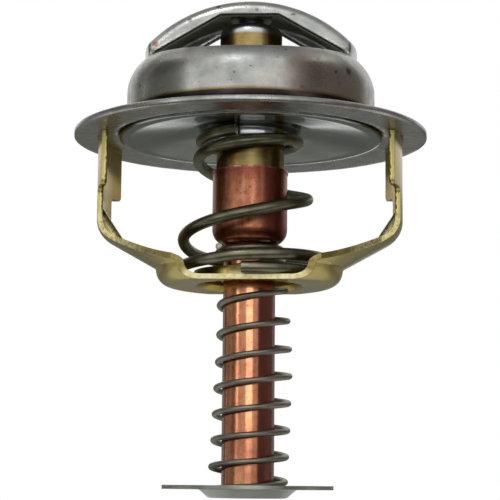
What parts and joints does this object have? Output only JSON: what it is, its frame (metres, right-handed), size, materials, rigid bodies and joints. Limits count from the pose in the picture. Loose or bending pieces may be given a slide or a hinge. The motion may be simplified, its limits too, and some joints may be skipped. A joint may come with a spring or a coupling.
{
  "type": "engine thermostat",
  "caption": "Wax-driven coolant valve for an engine: round flange with a bridge, disc valve on a cone spring in a brass frame, copper bulb and sprung bypass plate.",
  "frame": {"origin": "on the axis, in the plane of the flange's underside", "axes": "+Z along the axis towards the bridge, +X through one leg of the spring frame"},
  "size_m": [0.054, 0.054, 0.0755],
  "materials": {
    "galvanised_steel": "satin, mottled zinc with small dark specks",
    "tinned_steel": "satin to mirror, rolled sheet",
    "yellow_brass_strip": "satin pressed strip with bright cut edges",
    "turned_brass": "turned, dull",
    "copper": "drawn copper, streaked and slightly tarnished",
    "spring_steel": "drawn wire, oiled dark grey",
    "hardened_steel": "ground",
    "black_rubber": "moulded",
    "white_plastic": "plain",
    "copper_filled_wax": "plain"
  },
  "bodies": {
    "root": {"seat_and_bridge": "galvanised_steel", "spring_frame": "yellow_brass_strip", "piston": "hardened_steel", "piston_washer": "white_plastic", "rubber_plug": "black_rubber", "main_spring": "spring_steel"},
    "element": {"valve_plate": "tinned_steel", "plate_clip": "spring_steel", "guide": "turned_brass", "diaphragm": "black_rubber", "wax_charge": "copper_filled_wax", "copper_bulb": "copper", "bypass_spring": "spring_steel", "keeper_ring": "spring_steel"},
    "bypass": {"bypass_plate": "tinned_steel"}
  },
  "joints": [
    {"name": "valve_lift", "type": "slide", "parent": "root", "child": "element", "axis": [0, 0, -1], "range_m": [0, 0.008], "stiffness_N_per_m": 6000, "springref_m": -0.013, "deforming": ["main_spring"]},
    {"name": "bypass_lift", "type": "slide", "parent": "element", "child": "bypass", "axis": [0, 0, 1], "range_m": [0, 0.008], "stiffness_N_per_m": 1500, "springref_m": -0.01, "deforming": ["bypass_spring"]}
  ]
}
